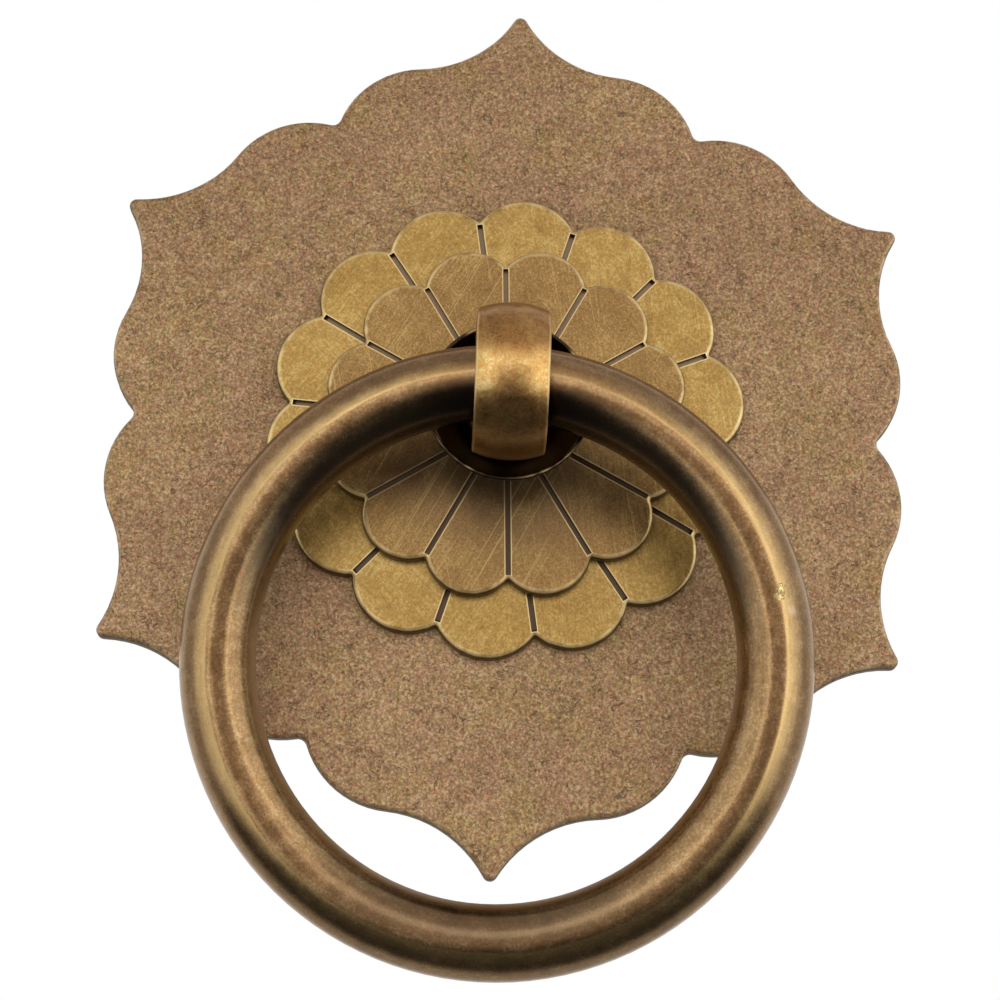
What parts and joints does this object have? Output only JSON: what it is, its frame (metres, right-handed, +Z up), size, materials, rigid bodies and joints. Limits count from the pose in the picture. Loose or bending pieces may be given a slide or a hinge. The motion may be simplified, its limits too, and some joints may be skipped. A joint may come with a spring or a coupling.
{
  "type": "ring pull handle",
  "caption": "Antique brass ring pull on a lotus-shaped backplate with stacked flower rosettes, a cup washer, and an eye with a threaded shank.",
  "frame": {"origin": "centre of the backplate's back face, on the axis of the shank", "axes": "-Y towards the front, +Y into the door along the shank, +Z up, towards the petal above the eye"},
  "size_m": [0.0878, 0.0569, 0.1112],
  "materials": {
    "plate_brass": "antiqued, mottled, tumbled edges",
    "outer_rosette_brass": "antiqued, brushed, bright edges",
    "inner_rosette_brass": "antiqued, brushed, bright edges",
    "cup_brass": "antiqued, dark inside",
    "eye_brass": "antiqued, rubbed bright on the crown",
    "ring_brass": "antiqued, half gloss",
    "washer_brass": "plain, slightly dull",
    "nut_brass": "plain, slightly dull"
  },
  "bodies": {
    "fixed_stack": {"backplate": "plate_brass", "outer_rosette": "outer_rosette_brass", "inner_rosette": "inner_rosette_brass", "cup_washer": "cup_brass", "ring_eye": "eye_brass", "back_washer": "washer_brass", "hex_nut": "nut_brass"},
    "ring": {"pull_ring": "ring_brass"}
  },
  "joints": [
    {"name": "ring_swing", "type": "hinge", "parent": "fixed_stack", "child": "ring", "pos_m": [-0.0005, -0.01735, 0], "axis": [-1, 0, 0], "range_deg": [-3, 201]}
  ]
}
